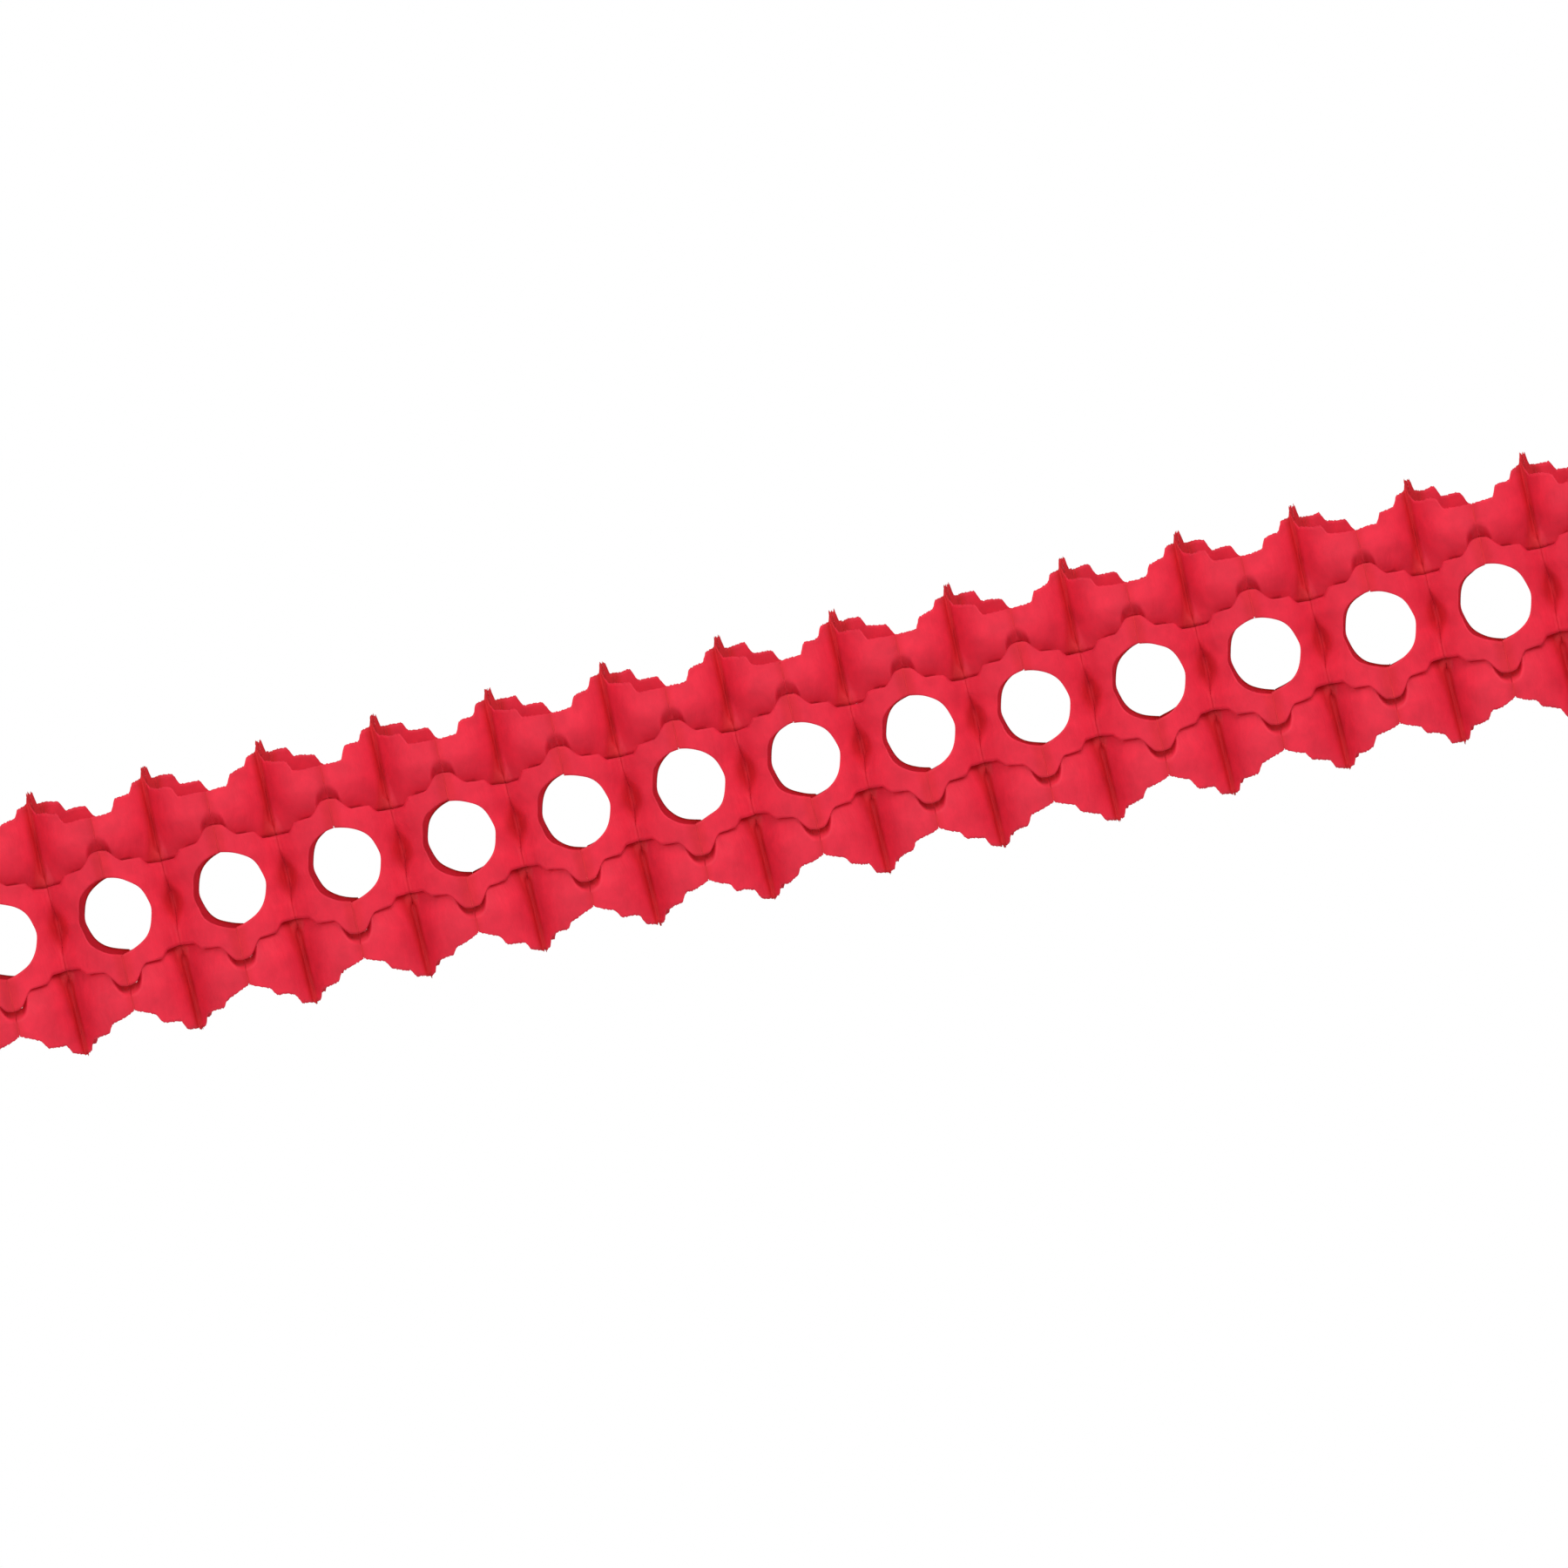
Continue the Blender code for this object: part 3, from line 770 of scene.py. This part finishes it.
def lip_strip(centre, heights, width, lean, front, chance):
    """A strip of doubled tissue that stands out from an edge seam, and starts a hair to the left of it so
    that the seam is closed. Its grid runs along the seam and across the strip, which curls evenly, and its
    free edge wanders by a slow sine wave and narrows at both ends."""
    low, high = heights
    up = np.linspace(low, high, LIP_ROWS + 1)[:, None]
    across = np.linspace(0.0, 1.0, LIP_COLUMNS + 1)[None, :]
    ends = eased(up, low, LIP_END) * eased(high - up, 0.0, LIP_END)
    wander = 1 + LIP_WANDER_SHARE * np.sin(up / LIP_WAVE + chance.uniform(0, 2 * np.pi))
    reach = across * width * wander * mix(LIP_END_SHARE, 1.0, ends)
    angle = lean + LIP_CURL * across
    x = centre[0] - LIP_LEFT + reach * np.sin(angle)
    y = centre[1] + (-1.0 if front else 1.0) * (LIP_OUT + reach * np.cos(angle))
    z = np.broadcast_to(up, reach.shape)
    points = np.stack([x, y, z], axis=-1).reshape(-1, 3)
    pattern = np.stack([reach + centre[0], z], axis=-1).reshape(-1, 2)
    return points, grid_faces(LIP_ROWS, LIP_COLUMNS, 0), pattern


def lip_spans(sizes, front):
    """Lower and upper end of each lip of an edge seam: on the upper flap, on the upper and the lower end of
    the arm, and on the lower flap."""
    notch = sizes.notch_height + LIP_NOTCH_MARGIN
    upper_slit, lower_slit = UPPER_SLIT[-1] + LIP_SLIT_MARGIN, LOWER_SLIT[-1] + LIP_SLIT_MARGIN
    upper_crest = edge_height(sizes, front, True) - LIP_CREST_MARGIN
    lower_crest = edge_height(sizes, front, False) - LIP_CREST_MARGIN
    return ((GLUE_FOOT, upper_crest), (notch, upper_slit), (-lower_slit, -notch), (-lower_crest, -GLUE_FOOT))


def make_lip(name, seam, front, material, sizes):
    """The four glued lips of one edge seam: on both flaps and on both ends of the arm."""
    chance = np.random.default_rng([sizes.seed, seam, LIP_DRAW, int(front)])
    centre = (FIRST_SEAM.x + (2 * seam - 1) * HALF_PITCH, FIRST_SEAM.y + (-1 if front else 1) * HALF_DEPTH)
    points, faces, pattern, glue_and_shade_channel, count = [], [], [], [], 0
    for heights in lip_spans(sizes, front):
        lean = chance.uniform(*LIP_LEANS)
        part, squares, places = lip_strip(centre, heights, sizes.lip, lean, front, chance)
        points.append(part)
        faces.append(squares + count)
        pattern.append(places)
        glue_and_shade_channel.append(np.full(len(part), LIP_GLUE))
        count += len(part)
    body = f"rising_{seam:02d}" if front else BODY_OF_BACK[seam]
    lip = new_piece(name, points, faces, pattern, glue_and_shade_channel, material, body)
    give_thickness(lip, sizes.wall)


def node_chain(material):
    """The node tree of a new material, emptied but for its output."""
    material.use_nodes = True
    tree = material.node_tree
    for node in list(tree.nodes):
        if node.type != "OUTPUT_MATERIAL":
            tree.nodes.remove(node)
    return tree, next(node for node in tree.nodes if node.type == "OUTPUT_MATERIAL")


def noise(tree, vector, scale, detail, roughness):
    """A noise texture on a given vector."""
    texture = tree.nodes.new("ShaderNodeTexNoise")
    texture.inputs["Scale"].default_value = scale
    texture.inputs["Detail"].default_value = detail
    texture.inputs["Roughness"].default_value = roughness
    tree.links.new(vector, texture.inputs["Vector"])
    return texture.outputs["Fac"]


def ramp(tree, value, low, high, first, second):
    """A colour between two, as a value goes from low to high."""
    blend = tree.nodes.new("ShaderNodeValToRGB")
    blend.color_ramp.elements[0].position = low
    blend.color_ramp.elements[1].position = high
    blend.color_ramp.elements[0].color = first
    blend.color_ramp.elements[1].color = second
    tree.links.new(value, blend.inputs["Fac"])
    return blend.outputs["Color"]


def stretched_pattern(tree, stretch=(1.0, 1.0, 1.0)):
    """The sheet's own pattern places, stretched in each direction."""
    places = tree.nodes.new("ShaderNodeUVMap")
    places.uv_map = "sheet"
    mapping = tree.nodes.new("ShaderNodeMapping")
    mapping.inputs["Scale"].default_value = stretch
    tree.links.new(places.outputs["UV"], mapping.inputs["Vector"])
    return mapping.outputs["Vector"]


def bump(tree, value, distance, strength, before=None):
    """A bump from a value, on top of an earlier one."""
    relief = tree.nodes.new("ShaderNodeBump")
    relief.inputs["Distance"].default_value = distance
    relief.inputs["Strength"].default_value = strength
    tree.links.new(value, relief.inputs["Height"])
    if before:
        tree.links.new(before, relief.inputs["Normal"])
    return relief.outputs["Normal"]


def scaled(colour, gain):
    """A colour made lighter or darker, held below white and opaque."""
    return (*(min(1.0, channel * gain) for channel in colour[:3]), 1.0)


def tinted(tree, colour, glue_and_shade):
    """A colour, made deeper by one tint where the tissue carries glue and where shade is painted, and darker
    still along the notch rim behind, where the painted shade is strongest.
    """
    blend = tree.nodes.new("ShaderNodeMix")
    blend.data_type = "RGBA"
    blend.blend_type = "MULTIPLY"
    blend.clamp_factor = False
    blend.clamp_result = True
    tree.links.new(glue_and_shade, blend.inputs["Factor"])
    tree.links.new(colour, blend.inputs["A"])
    blend.inputs["B"].default_value = GLUE_AND_SHADE_TINT
    return blend.outputs["Result"]


def tissue_material(name, colour, glow, share_through):
    """Dyed tissue: long pulp fibres and soft clouds in the colour, deeper and with less sheen where it is glued
    and where shade is painted, fine crinkles and broad dents in the relief, and a share of the light that comes
    through."""
    material = bpy.data.materials.new(name)
    tree, output = node_chain(material)
    plain = stretched_pattern(tree)
    long_way = stretched_pattern(tree, TISSUE_GRAIN)
    clouds = noise(tree, plain, *TISSUE_CLOUDS)
    fibres = noise(tree, long_way, *TISSUE_FIBRES)
    relief = bump(tree, noise(tree, plain, *TISSUE_DENTS), *DENT_RELIEF)
    relief = bump(tree, noise(tree, long_way, *TISSUE_CRINKLES), *CRINKLE_RELIEF, relief)
    relief = bump(tree, fibres, *FIBRE_RELIEF, relief)
    # The glue channel carries both glue and painted shade
    glue_and_shade_channel = tree.nodes.new("ShaderNodeAttribute")
    glue_and_shade_channel.attribute_name = "glue_and_shade"
    glue_and_shade = glue_and_shade_channel.outputs["Fac"]
    body = tree.nodes.new("ShaderNodeBsdfPrincipled")
    body.inputs["Roughness"].default_value = TISSUE_ROUGHNESS
    sheen = tree.nodes.new("ShaderNodeMapRange")
    tree.links.new(glue_and_shade, sheen.inputs["Value"])
    sheen.inputs["To Min"].default_value = PLAIN_SPECULAR
    sheen.inputs["To Max"].default_value = GLUED_SPECULAR
    tree.links.new(sheen.outputs["Result"], body.inputs["Specular IOR Level"])
    clouded = ramp(tree, clouds, *TISSUE_CLOUD_SPAN, *(scaled(colour, gain) for gain in TISSUE_CLOUD_GAINS))
    tree.links.new(tinted(tree, clouded, glue_and_shade), body.inputs["Base Color"])
    tree.links.new(relief, body.inputs["Normal"])
    through = tree.nodes.new("ShaderNodeBsdfTranslucent")
    fibrous = ramp(tree, fibres, *TISSUE_FIBRE_SPAN, *(scaled(glow, gain) for gain in TISSUE_FIBRE_GAINS))
    tree.links.new(tinted(tree, fibrous, glue_and_shade), through.inputs["Color"])
    tree.links.new(relief, through.inputs["Normal"])
    both = tree.nodes.new("ShaderNodeMixShader")
    both.inputs["Fac"].default_value = share_through
    tree.links.new(body.outputs["BSDF"], both.inputs[1])
    tree.links.new(through.outputs["BSDF"], both.inputs[2])
    tree.links.new(both.outputs["Shader"], output.inputs["Surface"])
    return material


def board_material(name, colour):
    """Uncoated board: short grey and brown fibres, soft clouds, and a faint felt-like relief."""
    material = bpy.data.materials.new(name)
    tree, output = node_chain(material)
    place = tree.nodes.new("ShaderNodeTexCoord").outputs["Object"]
    mapping = tree.nodes.new("ShaderNodeMapping")
    mapping.inputs["Scale"].default_value = BOARD_GRAIN
    tree.links.new(place, mapping.inputs["Vector"])
    fibres = noise(tree, mapping.outputs["Vector"], *BOARD_FIBRES)
    shaded = ramp(tree, fibres, *BOARD_FIBRE_SPAN, scaled(colour, FIBRE_SHADE), colour)
    clouded = ramp(tree, noise(tree, place, *BOARD_CLOUDS), *BOARD_CLOUD_SPAN, BOARD_CLOUD_TINT, WHITE)
    blend = tree.nodes.new("ShaderNodeMix")
    blend.data_type = "RGBA"
    blend.blend_type = "MULTIPLY"
    blend.inputs["Factor"].default_value = 1.0
    tree.links.new(shaded, blend.inputs["A"])
    tree.links.new(clouded, blend.inputs["B"])
    body = tree.nodes.new("ShaderNodeBsdfPrincipled")
    body.inputs["Roughness"].default_value = BOARD_ROUGHNESS
    body.inputs["Specular IOR Level"].default_value = BOARD_SPECULAR
    tree.links.new(blend.outputs["Result"], body.inputs["Base Color"])
    tree.links.new(bump(tree, fibres, *BOARD_RELIEF), body.inputs["Normal"])
    tree.links.new(body.outputs["BSDF"], output.inputs["Surface"])
    return material


def shown_white(tree):
    """One for a ray from the camera, off gloss or through glass, and nothing for any other."""
    path = tree.nodes.new("ShaderNodeLightPath")
    most = path.outputs["Is Camera Ray"]
    for name in ("Is Glossy Ray", "Is Transmission Ray"):
        larger = tree.nodes.new("ShaderNodeMath")
        larger.operation = "MAXIMUM"
        tree.links.new(most, larger.inputs[0])
        tree.links.new(path.outputs[name], larger.inputs[1])
        most = larger.outputs["Value"]
    return most


def shown_to_camera(tree, normal, white):
    """A mix of two shaders, of which the camera, gloss and glass see the second, and all else the first."""
    both = tree.nodes.new("ShaderNodeMixShader")
    tree.links.new(shown_white(tree), both.inputs["Fac"])
    tree.links.new(normal, both.inputs[1])
    tree.links.new(white, both.inputs[2])
    return both.outputs["Shader"]


class GARLAND_OT_tissue_leaves(bpy.types.Operator):
    """Make every tissue leaf, in place of the plain ones"""

    bl_idname = "garland.tissue_leaves"
    bl_label = "Tissue leaves"

    def execute(self, context):
        sizes, colours = context.scene.garland_sizes, context.scene.garland_colours
        tissue = tissue_material("red_tissue", colours.tissue, colours.glow, SHARE_THROUGH)
        for name, node, seam, side, front in leaf_plan():
            make_leaf(name, node, seam, side, front, tissue, sizes)
        return {"FINISHED"}


class GARLAND_OT_glued_lips(bpy.types.Operator):
    """Make the lips of doubled tissue where the outer edges are glued"""

    bl_idname = "garland.glued_lips"
    bl_label = "Glued lips"

    def execute(self, context):
        sizes, colours = context.scene.garland_sizes, context.scene.garland_colours
        doubled = tissue_material("doubled_tissue", colours.lip, colours.glow, LIP_SHARE_THROUGH)
        for seam in range(1, CELLS + 1):
            for front in (True, False):
                make_lip(f"glued_lip_{seam:02d}_{'front' if front else 'back'}", seam, front, doubled, sizes)
        return {"FINISHED"}


class GARLAND_OT_end_cards(bpy.types.Operator):
    """Finish the two end cards as uncoated board"""

    bl_idname = "garland.end_cards"
    bl_label = "End cards"

    def execute(self, context):
        board = board_material("uncoated_board", context.scene.garland_colours.card)
        for node in ("end_card_left", "end_card_right"):
            frame["nodes"][node].material_slots[0].material = board
        return {"FINISHED"}


class GARLAND_OT_studio(bpy.types.Operator):
    """Set up the floor, the soft light and the camera"""

    bl_idname = "garland.studio"
    bl_label = "Studio"

    def execute(self, context):
        studio, colours = context.scene.garland_studio, context.scene.garland_colours
        make_floor(colours.floor)
        make_world(studio.fill_strength)
        make_lamps(studio.key_power)
        make_camera(studio)
        context.scene.view_settings.view_transform = "Standard"
        return {"FINISHED"}


def make_floor(colour):
    """A wide matt plane below the garland, which the camera sees as plain white."""
    half, drop = FLOOR_HALF, FLOOR_DROP
    corners = np.array([[-half, -half, drop], [half, -half, drop], [half, half, drop], [-half, half, drop]])
    mesh = bpy.data.meshes.new("floor")
    mesh.from_pydata(corners.tolist(), [], [(0, 1, 2, 3)])
    material = bpy.data.materials.new("pale_floor")
    tree, output = node_chain(material)
    matt = tree.nodes.new("ShaderNodeBsdfDiffuse")
    matt.inputs["Color"].default_value = scaled(colour, FLOOR_SHADE)
    white = tree.nodes.new("ShaderNodeEmission")
    white.inputs["Color"].default_value = colour
    seen = shown_to_camera(tree, matt.outputs["BSDF"], white.outputs["Emission"])
    tree.links.new(seen, output.inputs["Surface"])
    mesh.materials.append(material)
    floor = bpy.data.objects.new("floor", mesh)
    bpy.context.scene.collection.objects.link(floor)


def make_world(fill):
    """A soft world, dimmer behind the garland and shown white to the camera."""
    world = bpy.data.worlds.new("studio")
    bpy.context.scene.world = world
    world.use_nodes = True
    tree = world.node_tree
    tree.nodes.clear()
    output = tree.nodes.new("ShaderNodeOutputWorld")
    direction = tree.nodes.new("ShaderNodeSeparateXYZ")
    tree.links.new(tree.nodes.new("ShaderNodeTexCoord").outputs["Generated"], direction.inputs["Vector"])
    behind = tree.nodes.new("ShaderNodeMapRange")
    tree.links.new(direction.outputs["Y"], behind.inputs["Value"])
    for socket, value in (("From Min", -1.0), ("From Max", 1.0),
                          ("To Min", fill), ("To Max", fill * BEHIND_SHARE)):
        behind.inputs[socket].default_value = value
    soft = tree.nodes.new("ShaderNodeBackground")
    soft.inputs["Color"].default_value = WHITE
    tree.links.new(behind.outputs["Result"], soft.inputs["Strength"])
    white = tree.nodes.new("ShaderNodeBackground")
    white.inputs["Color"].default_value = WHITE
    seen = shown_to_camera(tree, soft.outputs["Background"], white.outputs["Background"])
    tree.links.new(seen, output.inputs["Surface"])


def make_lamps(key_power):
    """Two large square lamps in front, which point at the garland's middle."""
    for name, place, size, share in LAMPS:
        lamp = bpy.data.lights.new(name, "AREA")
        lamp.shape = "SQUARE"
        lamp.size = size
        lamp.energy = key_power * share
        holder = bpy.data.objects.new(name, lamp)
        holder.location = place
        holder.rotation_euler = (-Vector(place)).to_track_quat("-Z", "Y").to_euler()
        bpy.context.scene.collection.objects.link(holder)


def make_camera(studio):
    """A long lens, turned so that the garland climbs to the right, with the garland's middle a little right
    of and above the picture's middle."""
    a, e, roll = studio.azimuth, studio.elevation, studio.climb
    look = Vector((-np.sin(a) * np.cos(e), np.cos(a) * np.cos(e), -np.sin(e)))
    level_right = Vector((np.cos(a), np.sin(a), 0.0))
    level_up = level_right.cross(look)
    right = level_right * np.cos(roll) - level_up * np.sin(roll)
    up = level_up * np.cos(roll) + level_right * np.sin(roll)
    pixel = studio.frame_width / PICTURE_PIXELS
    across, down = (place - PICTURE_PIXELS / 2 for place in GARLAND_MIDDLE_PIXELS)
    aim = pixel * (down * up - across * right)
    data = bpy.data.cameras.new("camera")
    data.sensor_width = SENSOR_WIDTH
    data.lens = data.sensor_width * studio.distance / studio.frame_width
    data.clip_end = FARTHEST_SEEN
    camera = bpy.data.objects.new("camera", data)
    place = aim - look * studio.distance
    camera.matrix_world = Matrix((
        (right.x, up.x, -look.x, place.x), (right.y, up.y, -look.y, place.y),
        (right.z, up.z, -look.z, place.z), (0.0, 0.0, 0.0, 1.0)))
    bpy.context.scene.collection.objects.link(camera)
    bpy.context.scene.camera = camera


class GARLAND_PT_sidebar(bpy.types.Panel):
    """The garland's sizes, colours and steps"""

    bl_idname = "GARLAND_PT_sidebar"
    bl_label = "Tissue garland"
    bl_space_type = "VIEW_3D"
    bl_region_type = "UI"
    bl_category = "Garland"

    def draw(self, context):
        scene = context.scene
        for group in (scene.garland_sizes, scene.garland_colours, scene.garland_studio):
            box = self.layout.box()
            for name in group.bl_rna.properties.keys():
                if name not in ("rna_type", "name"):
                    box.prop(group, name)
        for step in STEPS:
            self.layout.operator(step.bl_idname)


STEPS = (GARLAND_OT_tissue_leaves, GARLAND_OT_glued_lips, GARLAND_OT_end_cards, GARLAND_OT_studio)
CLASSES = (GarlandSizes, GarlandColours, GarlandStudio, *STEPS, GARLAND_PT_sidebar)


def register():
    """Register the classes and hang the property groups on the scene."""
    for item in CLASSES:
        bpy.utils.register_class(item)
    bpy.types.Scene.garland_sizes = PointerProperty(type=GarlandSizes)
    bpy.types.Scene.garland_colours = PointerProperty(type=GarlandColours)
    bpy.types.Scene.garland_studio = PointerProperty(type=GarlandStudio)


def unregister():
    """Take everything back that register added."""
    del bpy.types.Scene.garland_studio
    del bpy.types.Scene.garland_colours
    del bpy.types.Scene.garland_sizes
    for item in reversed(CLASSES):
        bpy.utils.unregister_class(item)


def main():
    register()
    bpy.ops.garland.tissue_leaves()
    bpy.ops.garland.glued_lips()
    bpy.ops.garland.end_cards()
    bpy.ops.garland.studio()


if __name__ == "__main__":
    main()
